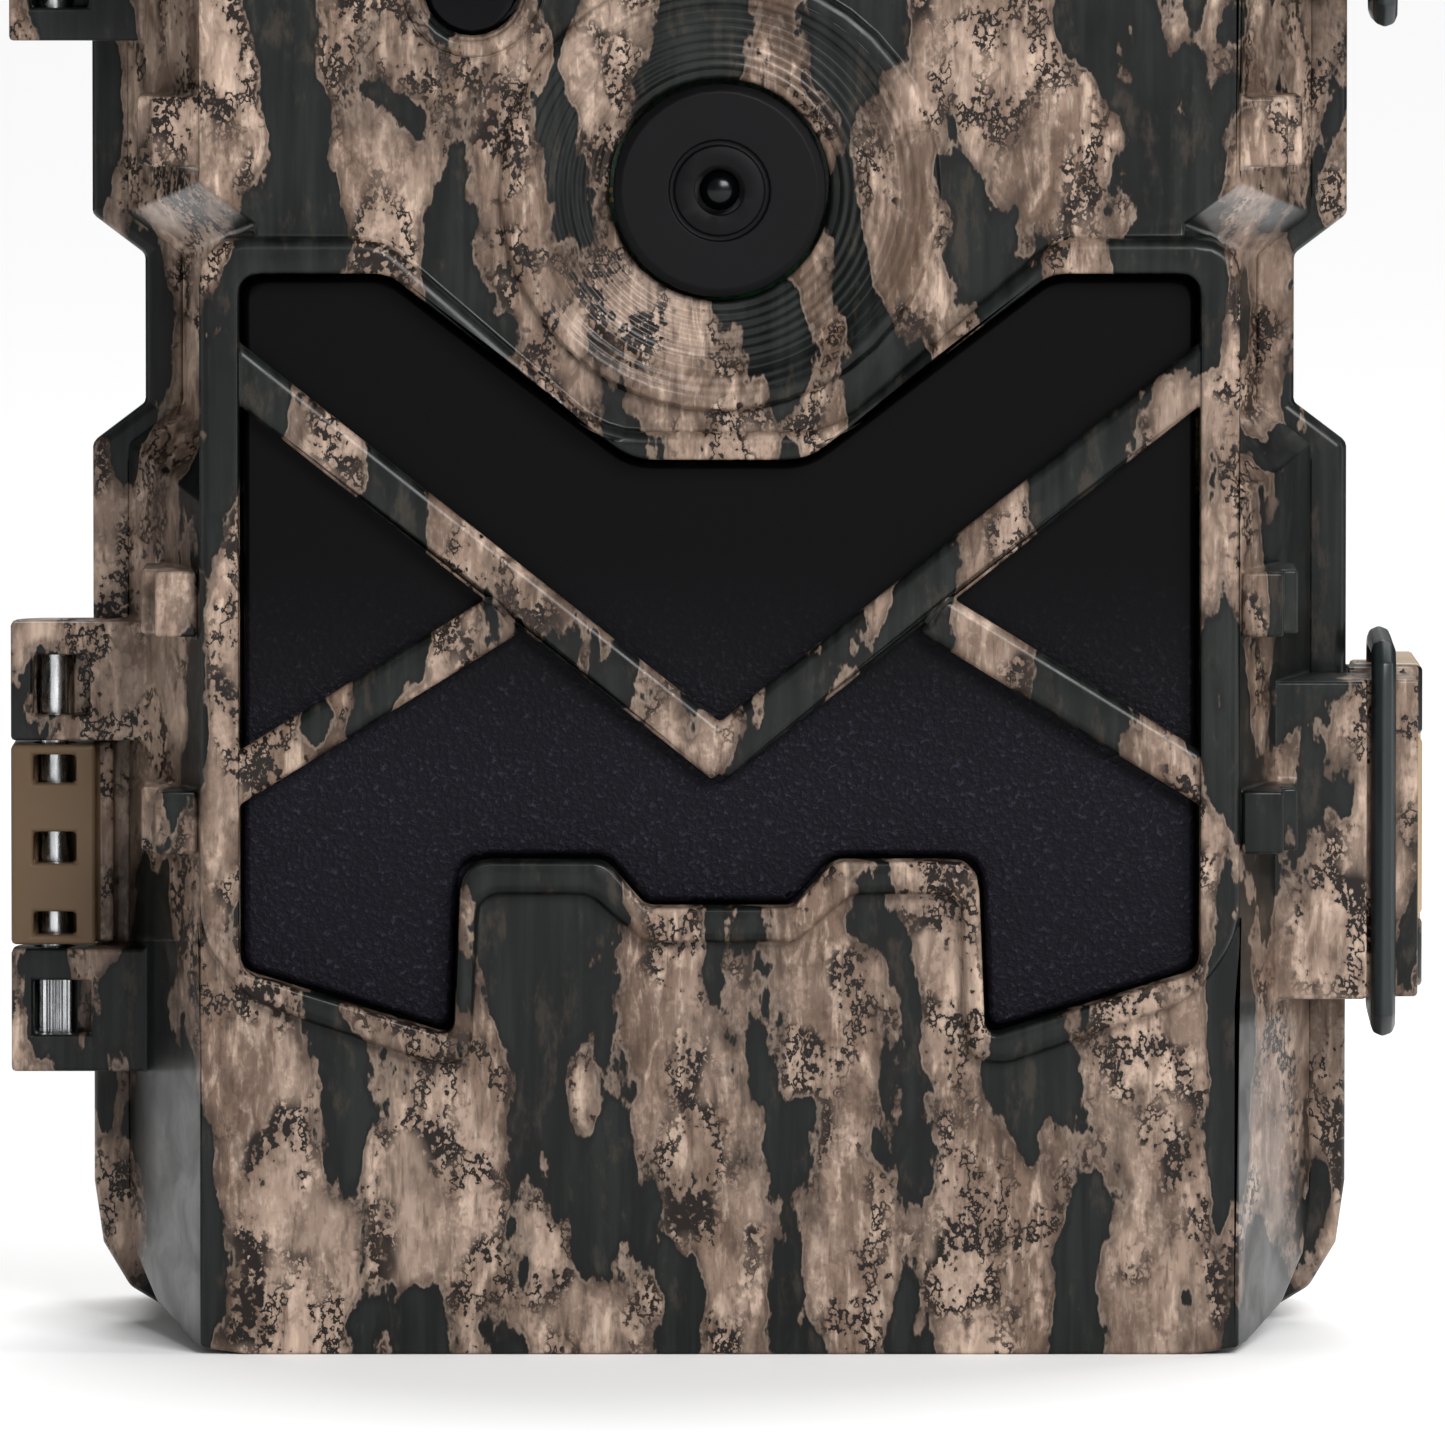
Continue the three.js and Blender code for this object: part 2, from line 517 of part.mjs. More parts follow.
function rearShell() {
  const rim = plate(waistedOutline(CASE), [Y_PARTING, Y_PARTING + RIM_DEPTH], 0.5);
  const body = chamferedBody([Y_PARTING, Y_BACK]);
  const hollow = plate(waistedOutline(CASE, BODY_INSET + CASE_WALL), [Y_PARTING - 1, 16]);
  const channel = cut(
    plate(waistedOutline(CASE, 2.7), [Y_PARTING - 1, -3.6]),
    plate(waistedOutline(CASE, 4.5), [Y_PARTING - 2, 0]),
  );
  const rib = strapRib();

  const knuckle = cut(
    join(
      rodZ(HINGE.r, HINGE.x, HINGE.y, HINGE_SPANS.knuckle),
      box([HINGE.x - HINGE.r, HINGE.x + HINGE.r], [HINGE.y - HINGE.r, HINGE.y], HINGE_SPANS.knuckle),
      box([HINGE.x - HINGE.r, -42.5], [HINGE.y, Y_PARTING + 3], HINGE_SPANS.knuckle),
    ),
    ...KNUCKLE_WINDOWS.map((span) =>
      box([HINGE.x - 1.4, HINGE.x + 1.6], [HINGE.y - 4, HINGE.y - 0.2], span)),
    rodZ(HINGE.bore, HINGE.x, HINGE.y, HINGE_BORE_SPAN, 16),
  );
  const latchLugs = [-1, 1].map((side) => {
    const near = LATCH_Z + side * (LATCH.knuckle + GAP);
    const far = LATCH_Z + side * LATCH.half;
    const span = [Math.min(near, far), Math.max(near, far)];
    return cut(
      join(
        rodZ(LATCH.r, LATCH.x, LATCH.y, span, 20),
        box([41.5, LATCH.x], [LATCH.y - LATCH.r, LATCH.y + LATCH.r], span),
      ),
      rodZ(LATCH.pin + 0.25, LATCH.x, LATCH.y, [LATCH_Z - 9.8, LATCH_Z + 9.8], 16),
    );
  });
  const bottomBosses = join(
    box([TRIPOD.x - 8, TRIPOD.x + 8], [TRIPOD.y - 8, 17], [2, 10.5]),
    rodZ(JACK.r + 1.8, JACK.x, JACK.y, [2, 6], 20),
  );
  const bottomHoles = join(
    rodZ(TRIPOD.r + GAP, TRIPOD.x, TRIPOD.y, [-1, TRIPOD.top + GAP], 24),
    rodZ(JACK.cap + GAP, JACK.x, JACK.y, [-1, 2], 24),
    rodZ(JACK.r + GAP, JACK.x, JACK.y, [-1, 9], 24),
  );

  const sides = join(knuckle, flipZ(knuckle), ...latchLugs, ...latchLugs.map(flipZ));
  const shell = cut(join(rim, body), hollow, channel);
  return cut(join(shell, rib, flipX(rib), sides, bottomBosses), bottomHoles);
}

// Case body behind the rim, its back edge chamfered all round.
function chamferedBody([y0, y1]) {
  const chamfer = 2.5;
  const main = plate(waistedOutline({ ...CASE, corner: 11 }, BODY_INSET, 0), [-y1, -y0], chamfer);
  return main.mirror([0, 1, 0]);
}

add("rear_shell", rearShell(), LOOKS.camo());

add("rim_gasket", cut(
  plate(waistedOutline(CASE, 3), [Y_PARTING, -3.9]),
  plate(waistedOutline(CASE, 4.2), [Y_PARTING - 2, 0]),
), LOOKS.rubber());

add("tripod_insert", turnedZ([
  [TRIPOD.bore, GAP], [TRIPOD.r, GAP], [TRIPOD.r, TRIPOD.top], [TRIPOD.bore, TRIPOD.top],
  [TRIPOD.bore, GAP],
], TRIPOD.x, TRIPOD.y, 24), LOOKS.brass());
add("power_jack", turnedZ([
  [JACK.bore, 2.4], [JACK.r, 2.4], [JACK.r, JACK.top], [0, JACK.top], [0, JACK.top - 1.4],
  [JACK.bore, JACK.top - 1.4], [JACK.bore, 2.4],
], JACK.x, JACK.y, 20), LOOKS.black());
add("jack_plug", turnedZ([
  [0, 0.2], [JACK.cap - 0.4, 0.2], [JACK.cap, 0.6], [JACK.cap, 1.7], [2.4, 1.7], [2.4, 6.5],
  [0, 6.5],
], JACK.x, JACK.y, 20), LOOKS.rubber());

// Battery tray: two tiers of four cells, with sheet contacts at each end of a tier.
function batteryTray() {
  const halfWide = 2 * CELL.pitch + 1;
  const high = HEIGHT - trayLow + TRAY_WALL;
  const low = trayLow - TRAY_WALL;
  const back = [CELL.y + CELL.r + GAP, 15.7];
  const deep = [-0.6, 15.7];
  const wall = 1.4;
  const slabs = [
    box([-halfWide, halfWide], back, [low, high]),
    box([-halfWide, halfWide], deep, [low, trayLow]),
    box([-halfWide, halfWide], deep, [high - TRAY_WALL, high]),
    box([-halfWide, halfWide], deep, [MID_Z - 0.9, MID_Z + 0.9]),
    box([-halfWide, -halfWide + 0.9 - GAP], deep, [low, high]),
    box([halfWide - 0.9 + GAP, halfWide], deep, [low, high]),
  ];
  const ridges = [-1, 0, 1].map((i) =>
    box([i * CELL.pitch - wall / 2, i * CELL.pitch + wall / 2], [CELL.y + 5.4, 14.2], [low, high]));
  return join(...slabs, ...ridges.map((ridge) => cut(ridge, ...COLUMNS.map((x) =>
    rodZ(CELL.r + GAP, x, CELL.y, [0, HEIGHT], 32)))));
}
add("battery_tray", batteryTray(), LOOKS.black());

// A cell standing on z = 0 with its nub up.
const uprightCell = () => turnedZ([
  [0, 0], [CELL.r - 0.4, 0], [CELL.r, 0.5], [CELL.r, CELL.length - CELL.nub - 0.5],
  [CELL.r - 0.4, CELL.length - CELL.nub], [2.7, CELL.length - CELL.nub], [2.7, CELL.length],
  [0, CELL.length],
], 0, 0, 16);

// Coil spring that stands on z = 0 and narrows to its free end.
function coilSpring(height) {
  const turns = 2.5;
  const points = [];
  for (let i = 0; i <= 10 * turns; i += 1) {
    const angle = (i / 10) * 2 * Math.PI;
    const t = i / (10 * turns);
    const r = 4.2 - 1.2 * t;
    points.push(new THREE.Vector3(r * Math.cos(angle), r * Math.sin(angle), height * t));
  }
  const section = new THREE.Shape();
  section.absarc(0, 0, 0.4, 0, 2 * Math.PI);
  return solid(new THREE.ExtrudeGeometry(section, {
    extrudePath: new THREE.CatmullRomCurve3(points), steps: 24, curveSegments: 2,
  }));
}

const turnOver = (manifold, height) => manifold.rotate([180, 0, 0]).translate([0, 0, height]);
const nubUp = (column) => column % 2 === 0;
const springHeight = TIER - 2 * (GAP + CONTACT) - CELL.length - 2 * GAP - 0.4;

// One tier: its cells, then the contacts below and above them.
function addTier(name, z) {
  COLUMNS.forEach((x, column) => {
    const rest = nubUp(column) ? springHeight + CONTACT + 2 * GAP + 0.4 : GAP + CONTACT + GAP;
    const cell = nubUp(column) ? uprightCell() : turnOver(uprightCell(), CELL.length);
    add(`cell_${name}_${column + 1}`, cell.translate([x, CELL.y, z + rest]), LOOKS.cell());
  });
  const ends = { bottom: [[0, 1], [2, 3]], top: [[0], [1, 2], [3]] };
  Object.entries(ends).forEach(([end, groups]) => groups.forEach((columns, i) => {
    const xs = columns.map((column) => COLUMNS[column]);
    const sheetX = [xs[0] - 5.6, xs[xs.length - 1] + 5.6];
    let contact = box(sheetX, [CELL.y - 5.4, CELL.y + 5.4], [GAP, GAP + CONTACT]);
    columns.forEach((column) => {
      const atNegative = nubUp(column) === (end === "bottom");
      if (!atNegative) return;
      const spring = coilSpring(springHeight).translate([COLUMNS[column], CELL.y, GAP + CONTACT]);
      contact = join(contact, spring);
    });
    const placed = end === "bottom" ? contact : contact.mirror([0, 0, 1]).translate([0, 0, TIER]);
    add(`contact_${name}_${end}_${i + 1}`, placed.translate([0, 0, z]), LOOKS.nickel());
  }));
}
addTier("lower", trayLow);
addTier("upper", MID_Z + 0.9);

// ---------------------------------------------------------------- hinge pins and latches

const hingePin = () => rodZ(HINGE.pin, HINGE.x, HINGE.y, PIN_SPAN, 16);
add("hinge_pin_lower", hingePin(), LOOKS.steel());
add("hinge_pin_upper", flipZ(hingePin()), LOOKS.steel());

const latchPin = () => rodZ(LATCH.pin, LATCH.x, LATCH.y, [LATCH_Z - 9.5, LATCH_Z + 9.5], 16);
add("latch_pin_lower", latchPin(), LOOKS.steel());
add("latch_pin_upper", flipZ(latchPin()), LOOKS.steel());

function latchLever() {
  const outerX = LATCH.x + LATCH.r;
  const all = [LATCH_Z - LATCH.half, LATCH_Z + LATCH.half];
  const middle = [LATCH_Z - LATCH.knuckle, LATCH_Z + LATCH.knuckle];
  const handle = sideRounded([47.3, outerX], [1, 19], all);
  const barrel = rodZ(LATCH.r, LATCH.x, LATCH.y, middle, 20);
  const web = box([LATCH.x - 0.6, outerX], [LATCH.y, 3], middle);
  const cheeks = [-1, 1].map((side) => {
    const near = LATCH_Z + side * (LATCH.knuckle + GAP);
    const far = LATCH_Z + side * LATCH.half;
    return box([44.6, 48], [1, 6.2], [Math.min(near, far), Math.max(near, far)]);
  });
  return cut(
    join(handle, barrel, web, ...cheeks),
    rodZ(LATCH.pin + 0.25, LATCH.x, LATCH.y, all, 16),
    ...[-1, 1].map((side) => {
      const inner = LATCH_Z + side * (LATCH.half - BAIL.reach - GAP);
      const outer = LATCH_Z + side * (LATCH.half + 1);
      return rodZ(BAIL.r + 0.27, BAIL.x, BAIL.y, [Math.min(inner, outer), Math.max(inner, outer)], 16);
    }),
  );
}

// Flat handle with its free end rounded in the YZ plane.
function sideRounded(x, [y0, y1], [z0, z1]) {
  const r = 3;
  const arc = (cy, cz, from) => [0, 1, 2, 3].map((i) => {
    const angle = from + (i * Math.PI) / 6;
    return [cy + r * Math.cos(angle), cz + r * Math.sin(angle)];
  });
  return sidePlate([
    [y0, z0], ...arc(y1 - r, z0 + r, -Math.PI / 2), ...arc(y1 - r, z1 - r, 0), [y0, z1],
  ], x);
}

function bail() {
  const low = LATCH_Z - BAIL.half;
  const high = LATCH_Z + BAIL.half;
  const inner = LATCH.half - BAIL.reach;
  return wire([
    [BAIL.x, BAIL.y, LATCH_Z - inner], [BAIL.x, BAIL.y, low], [BAIL.rodX, BAIL.rodY, low],
    [BAIL.rodX, BAIL.rodY, high], [BAIL.x, BAIL.y, high], [BAIL.x, BAIL.y, LATCH_Z + inner],
  ], BAIL.r, 1.4);
}

add("latch_lever_lower", latchLever(), LOOKS.tan());
add("latch_lever_upper", flipZ(latchLever()), LOOKS.tan());
add("latch_bail_lower", bail(), LOOKS.wire());
add("latch_bail_upper", flipZ(bail()), LOOKS.wire());

export default camera;
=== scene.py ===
# %% [markdown]
# # A trail camera, finished in Blender
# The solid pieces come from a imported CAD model. This script gives them rounded edges and
# finishes, adds the small detail that CAD left out, and sets up a plain studio. Each step
# says what the thing is, how it could be made, and why it is made this way.

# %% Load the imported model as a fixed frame
import json
import math

import bmesh
import bpy
import numpy as np
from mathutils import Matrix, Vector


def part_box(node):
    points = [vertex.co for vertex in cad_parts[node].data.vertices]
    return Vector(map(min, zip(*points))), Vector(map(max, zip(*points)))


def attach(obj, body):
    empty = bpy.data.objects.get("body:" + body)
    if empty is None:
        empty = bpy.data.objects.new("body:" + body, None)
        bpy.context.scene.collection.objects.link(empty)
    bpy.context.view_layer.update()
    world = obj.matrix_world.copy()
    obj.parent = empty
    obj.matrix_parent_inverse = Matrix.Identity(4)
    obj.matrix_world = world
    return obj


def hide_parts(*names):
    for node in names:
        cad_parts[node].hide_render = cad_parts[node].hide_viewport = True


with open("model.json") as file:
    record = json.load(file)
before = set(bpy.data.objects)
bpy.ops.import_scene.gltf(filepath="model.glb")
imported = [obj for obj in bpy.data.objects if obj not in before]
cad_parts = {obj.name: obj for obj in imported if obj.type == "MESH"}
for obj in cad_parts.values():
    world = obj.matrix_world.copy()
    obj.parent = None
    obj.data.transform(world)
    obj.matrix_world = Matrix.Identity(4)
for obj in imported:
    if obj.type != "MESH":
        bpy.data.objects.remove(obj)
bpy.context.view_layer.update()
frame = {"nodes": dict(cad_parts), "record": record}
MM = 0.001

# %% [markdown]
# ## Where things are
# Every place below comes from a CAD node's own box, so a piece that is added sits right even
# if the model changes. `span` gives the lowest, highest and middle values of a node.

# %% Measure the nodes that new pieces are built around
def span(node):
    """Lowest corner, highest corner and centre of a node, as numpy arrays in metres."""
    low, high = (np.array(corner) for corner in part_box(node))
    return low, high, (low + high) / 2


lens_low, lens_high, lens_middle = span("lens_cover")
LENS_X, LENS_Z = lens_middle[0], lens_middle[2]
print(f"lens disc {(lens_high[0] - lens_low[0]) / MM:.1f} mm wide at height {LENS_Z / MM:.1f} mm")

# %% [markdown]
# ## Building materials from nodes
# A finish is a small graph: coordinates, patterns, a few mixes, and one shader. Wiring that by
# hand is long, so `Graph` wraps the handful of node types that are used. Every pattern reads
# Object coordinates. The objects sit at the origin, so those are real metres, and a pattern
# runs on across neighbouring pieces as film does on the real moulding.

# %% A small wrapper for node graphs
def linear(code):
    """Linear RGBA of a #rrggbb colour: each channel c goes to ((c + 0.055) / 1.055) ** 2.4."""
    channels = np.array([int(code[i:i + 2], 16) for i in (1, 3, 5)]) / 255
    curved = np.where(channels <= 0.04045, channels / 12.92,
                      ((channels + 0.055) / 1.055) ** 2.4)
    return (*curved, 1.0)


MIX_A, MIX_B, MIX_RESULT = 6, 7, 2   # the Mix node's colour sockets, by number


class Graph:
    """One material's node tree, with short names for the nodes that finishes need."""

    def __init__(self, name):
        self.material = bpy.data.materials.new(name)
        self.material.use_nodes = True
        self.tree = self.material.node_tree
        self.shader = self.tree.nodes["Principled BSDF"]

    def make(self, kind, **settings):
        """A new node of this kind, with its settings."""
        made = self.tree.nodes.new(kind)
        for key, value in settings.items():
            setattr(made, key, value)
        return made

    def feed(self, socket, value):
        """Link another node's output to a socket, or set the socket to a plain value."""
        if isinstance(value, bpy.types.NodeSocket):
            self.tree.links.new(value, socket)
        else:
            socket.default_value = value

    def place(self, scale=(1, 1, 1), shift=(0, 0, 0)):
        """Object coordinates in millimetres, stretched by scale and moved by shift."""
        coords = self.make("ShaderNodeTexCoord").outputs["Object"]
        mapping = self.make("ShaderNodeMapping")
        self.feed(mapping.inputs["Vector"], coords)
        mapping.inputs["Scale"].default_value = tuple(s / MM for s in scale)
        mapping.inputs["Location"].default_value = shift
        return mapping.outputs["Vector"]

    def noise(self, vector, detail=2.0, rough=0.5, warp=0.0):
        """Soft clouds of 0 to 1; each of detail octaves is rough times as strong as the last."""
        made = self.make("ShaderNodeTexNoise")
        self.feed(made.inputs["Vector"], vector)
        made.inputs["Scale"].default_value = 1.0
        made.inputs["Detail"].default_value = detail
        made.inputs["Roughness"].default_value = rough
        made.inputs["Distortion"].default_value = warp
        return made.outputs["Fac"]

    def cells(self, vector, feature="DISTANCE_TO_EDGE"):
        """Distance to the nearest wall between random cells, or with F1 to the nearest centre."""
        made = self.make("ShaderNodeTexVoronoi", feature=feature)
        self.feed(made.inputs["Vector"], vector)
        made.inputs["Scale"].default_value = 1.0
        return made.outputs["Distance"]

    def join(self, a, b, operation="ADD"):
        """One sum, or another two-value operation, of a and b."""
        made = self.make("ShaderNodeMath", operation=operation)
        self.feed(made.inputs[0], a)
        self.feed(made.inputs[1], b)
        return made.outputs[0]

    def times(self, a, b):
        """a times b."""
        return self.join(a, b, "MULTIPLY")

    def step(self, value, low, high, out=(0.0, 1.0)):
        """Smooth step of value from low to high, remapped to out."""
        made = self.make("ShaderNodeMapRange", interpolation_type="SMOOTHSTEP")
        self.feed(made.inputs["Value"], value)
        made.inputs["From Min"].default_value = low
        made.inputs["From Max"].default_value = high
        made.inputs["To Min"].default_value = out[0]
        made.inputs["To Max"].default_value = out[1]
        return made.outputs["Result"]

    def blend(self, factor, a, b):
        """Colour a where factor is 0, colour b where it is 1, and a straight mix between."""
        made = self.make("ShaderNodeMix", data_type="RGBA")
        self.feed(made.inputs["Factor"], factor)
        for socket, colour in ((MIX_A, a), (MIX_B, b)):
            self.feed(made.inputs[socket], linear(colour) if isinstance(colour, str) else colour)
        return made.outputs[MIX_RESULT]

    def axis(self, index):
        """One Object coordinate, in millimetres."""
        split = self.make("ShaderNodeSeparateXYZ")
        self.feed(split.inputs[0], self.place())
        return split.outputs[index]

    def bump(self, height, depth_mm):
        """Normals for a height pattern of 0 to 1 that stands depth_mm high."""
        made = self.make("ShaderNodeBump")
        made.inputs["Strength"].default_value = 1.0
        made.inputs["Distance"].default_value = depth_mm * MM
        self.feed(made.inputs["Height"], height)
        return made.outputs["Normal"]

    def finish(self, colour, rough, normal=None, **sockets):
        """Feed the shader and return the material; other sockets keep their name with _."""
        base = linear(colour) if isinstance(colour, str) else colour
        self.feed(self.shader.inputs["Base Color"], base)
        self.feed(self.shader.inputs["Roughness"], rough)
        if normal is not None:
            self.feed(self.shader.inputs["Normal"], normal)
        for name, value in sockets.items():
            self.feed(self.shader.inputs[name.replace("_", " ")], value)
        return self.material


print("mid grey #808080 is", round(float(linear("#808080")[0]), 3), "in linear light")

# %% [markdown]
# ## Bark film
# The case is dipped in a printed film of tree bark: tan plates of bark with torn edges stand in
# uneven columns, with dark charcoal-green between them, and every plate is split by dark cracks.
# One noise alone gives clouds, not bark. Here a wavering set of columns (a triangle wave across
# X) is added to a noise stretched along Z, and a fast noise tears the edge where their sum is
# cut off. Along Y everything changes slowly, which gives the smeared look of film on side walls.

# %% Columns of bark plates
COLUMN_MM = 12.5                 # half the distance from one column of bark to the next
COLUMN_HEIGHT = 0.55             # how strongly the columns count against the noise
TEAR = 0.42                      # how far the fast noise tears the edges
PLATE_FOOT, PLATE_TOP = 0.580, 0.608   # a plate's edge rises between these heights


def bark_plates(g):
    """Plate height field: triangle wave across X, plus stretched noise, plus torn fine noise."""
    sway = g.noise(g.place((0.035, 0.02, 0.022), (5, 0, 3)), 2.0, 0.5)
    across = g.join(g.times(g.axis(0), 1 / COLUMN_MM), g.join(g.times(sway, 2.4), 0.62))
    column = g.make("ShaderNodeMath", operation="PINGPONG")
    g.feed(column.inputs[0], across)
    column.inputs[1].default_value = 0.5
    slow = g.noise(g.place((0.13, 0.035, 0.05), (7.3, 2.0, 4.1)), 2.0, 0.5, 0.4)
    torn = g.noise(g.place((0.42, 0.12, 0.20)), 4.0, 0.56)
    columns = g.join(g.times(column.outputs[0], COLUMN_HEIGHT), slow)
    return g.join(columns, g.times(g.join(torn, -0.5), TEAR))


print(f"columns of bark stand about {2 * COLUMN_MM:.0f} mm apart before they sway")

# %% [markdown]
# ## Inside a plate
# A plate of bark isn't one brown. It has a broad change of tone, paler ridges, upright grain and
# dark cracks that stop and start. Each is one pattern laid over the last with its own strength.
# The cracks are the walls between Voronoi cells, read at places that a noise has pushed about,
# because straight cell walls look like paving.

# %% Tones and cracks of the tan bark
def tan_bark(g, mottle):
    """Colour inside a plate: broad tone, then ridges, mottling, upright grain and cracks."""
    broad = g.noise(g.place((0.15, 0.05, 0.08), (3, 0, 9)), 3.0, 0.6)
    grain = g.noise(g.place((2.0, 0.4, 0.35)), 5.0, 0.6)
    ridge = g.noise(g.place((0.75, 0.22, 0.24), (2, 0, 6)), 4.0, 0.55, 0.8)
    tan = g.blend(g.step(broad, 0.36, 0.64), "#645246", "#948072")
    tan = g.blend(g.times(g.step(ridge, 0.50, 0.68), 0.65), tan, "#b8a291")
    tan = g.blend(g.times(g.step(ridge, 0.46, 0.30), 0.45), tan, "#3c2e25")
    tan = g.blend(g.times(g.step(mottle, 0.50, 0.70), 0.35), tan, "#4b392d")
    tan = g.blend(g.times(g.step(grain, 0.54, 0.74), 0.40), tan, "#c4b2a2")
    tan = g.blend(g.times(g.step(grain, 0.47, 0.30), 0.55), tan, "#33261f")

    shake = g.make("ShaderNodeTexNoise")
    g.feed(shake.inputs["Vector"], g.place((0.35, 0.12, 0.28)))
    shake.inputs["Detail"].default_value = 4.0
    bent = g.make("ShaderNodeVectorMath", operation="MULTIPLY_ADD")
    g.feed(bent.inputs[0], shake.outputs["Color"])
    bent.inputs[1].default_value = (1.6, 0.3, 1.2)
    g.feed(bent.inputs[2], g.place((0.27, 0.07, 0.15)))
    crack = g.cells(bent.outputs[0])
    parted = g.step(g.noise(g.place((0.22, 0.08, 0.16), (4, 0, 1)), 2.0, 0.5), 0.42, 0.54)
    tan = g.blend(g.times(g.step(crack, 0.26, 0.05), 0.4), tan, "#382a22")
    return g.blend(g.times(g.step(crack, 0.085, 0.045), parted), tan, "#17110e")


# %% [markdown]
# ## Bare tan knuckles
# The film doesn't reach the hinge knuckles, which stay bare tan plastic. They are part of the
# case moulding, so a material can't be given to them alone. They are found by where they stand:
# outside the flank, in the gap between two lugs.

# %% Find the knuckles by place
KNUCKLE_X, KNUCKLE_Y = -43.4, -5.0                  # millimetres; the knuckles lie beyond both
KNUCKLE_SPANS = ((26.95, 41.25), (98.75, 113.05))   # lowest and highest Z of each, millimetres


def tan_knuckles(g):
    """1 where x and y are beyond the flank and z is in a knuckle's span, else 0."""
    x, y, z = g.axis(0), g.axis(1), g.axis(2)
    outside = g.times(g.join(x, KNUCKLE_X, "LESS_THAN"), g.join(y, KNUCKLE_Y, "LESS_THAN"))
    spans = [g.times(g.join(z, low, "GREATER_THAN"), g.join(z, high, "LESS_THAN"))
             for low, high in KNUCKLE_SPANS]
    return g.times(outside, g.join(*spans, "MAXIMUM"))


print("knuckles:", [round(high - low, 1) for low, high in KNUCKLE_SPANS], "mm long")

# %% [markdown]
# ## The whole film
# The plates' heights choose between the two sides of the print: tan bark above the cut, dark
# charcoal green below it. Plates darken towards their torn edge, a faint pale line catches parts
# of that edge, and the dark side has streaks and a little lichen. A thin coat gives the gloss.

# %% Put the film together
def bark_film():
    """Dark side below the plates' foot, tan side above their top, bare tan on the knuckles."""
    g = Graph("bark_film")
    plates = bark_plates(g)
    mask = g.step(plates, PLATE_FOOT, PLATE_TOP)
    mottle = g.noise(g.place((0.42, 0.14, 0.25)), 4.0, 0.56, 0.7)
    tan = tan_bark(g, mottle)
    tan = g.blend(g.times(g.step(plates, 0.690, 0.605), 0.7), tan, "#30251e")

    streak = g.noise(g.place((0.9, 0.2, 0.05), (1, 0, 5)), 4.0, 0.6)
    dark = g.blend(g.step(streak, 0.35, 0.68), "#080b0a", "#171b19")
    lichen = g.step(g.noise(g.place((0.45, 0.1, 0.16), (9, 0, 2)), 6.0, 0.72), 0.53, 0.66)
    dark = g.blend(g.times(lichen, 0.35), dark, "#41372f")
    colour = g.blend(mask, dark, tan)

    rim = g.times(g.step(plates, 0.592, 0.604), g.step(plates, 0.628, 0.608))
    ragged = g.step(mottle, 0.56, 0.46)
    colour = g.blend(g.times(g.times(rim, ragged), 0.16), colour, "#b5a293")
    edge = g.times(g.step(plates, 0.545, 0.585), g.step(plates, 0.598, 0.588))
    colour = g.blend(g.times(edge, 0.8), colour, "#080908")

    colour = g.blend(tan_knuckles(g), colour, "#544332")
    peel = g.noise(g.place((0.9, 0.9, 0.9)), 2.0, 0.5)
    rough = g.step(mottle, 0.3, 0.7, (0.30, 0.42))
    return g.finish(colour, rough, g.bump(peel, 0.010), Specular_IOR_Level=0.14,
                    Coat_Weight=0.06, Coat_Roughness=0.08)


BARK = bark_film()
print("bark film uses", len(BARK.node_tree.nodes), "nodes")

# %% [markdown]
# ## Plain plastics, rubber and metals
# Moulded plastic is never one flat value: it has a fine texture from the mould and a slightly
# uneven gloss. `moulded` covers all of these, with the texture's size and depth as arguments.

# %% Plain finishes
STAIN = 0.84                     # the darker places keep this much of the colour


def moulded(name, colour, rough, texture_mm, depth_mm, **sockets):
    """Plastic or rubber with a fine even texture; texture_mm is the size of one grain."""
    g = Graph(name)
    grain = g.noise(g.place((1 / texture_mm,) * 3), 3.0, 0.6)
    wear = g.noise(g.place((0.12, 0.12, 0.12)), 3.0, 0.6)
    base = linear(colour)
    darker = tuple(STAIN * c for c in base[:3]) + (1.0,)
    tone = g.blend(g.step(wear, 0.35, 0.65), darker, base)
    return g.finish(tone, g.step(wear, 0.3, 0.7, (rough - 0.05, rough + 0.05)),
                    g.bump(grain, depth_mm), **sockets)


def turned_metal(name, colour, rough, **sockets):
    """Bare metal with fine scratches along Z and faint darker stains."""
    g = Graph(name)
    scratch = g.noise(g.place((3.0, 3.0, 0.4)), 4.0, 0.7)
    stain = g.noise(g.place((0.3, 0.3, 0.3)), 3.0, 0.6)
    base = linear(colour)
    tone = g.blend(g.step(stain, 0.3, 0.7), tuple(0.7 * c for c in base[:3]) + (1.0,), base)
    return g.finish(tone, g.step(scratch, 0.3, 0.7, (rough - 0.08, rough + 0.1)),
                    g.bump(scratch, 0.01), Metallic=1.0, **sockets)


print("two recipes: moulded plastic and turned metal")

# %% [markdown]
# ## Window, circuit board and cell sleeve
# Three finishes have a pattern of their own. The lower window is smooth and black above and
# stippled below, so its grain fades in with height; below it turns a dark purple grey that is
# partly its own colour and partly a painted sheen, with painted glints on the stipple. A circuit
# board is green lacquer over copper tracks, which square cells stand for. A battery cell has a
# shrunk sleeve with one plain band, where a real cell carries print.

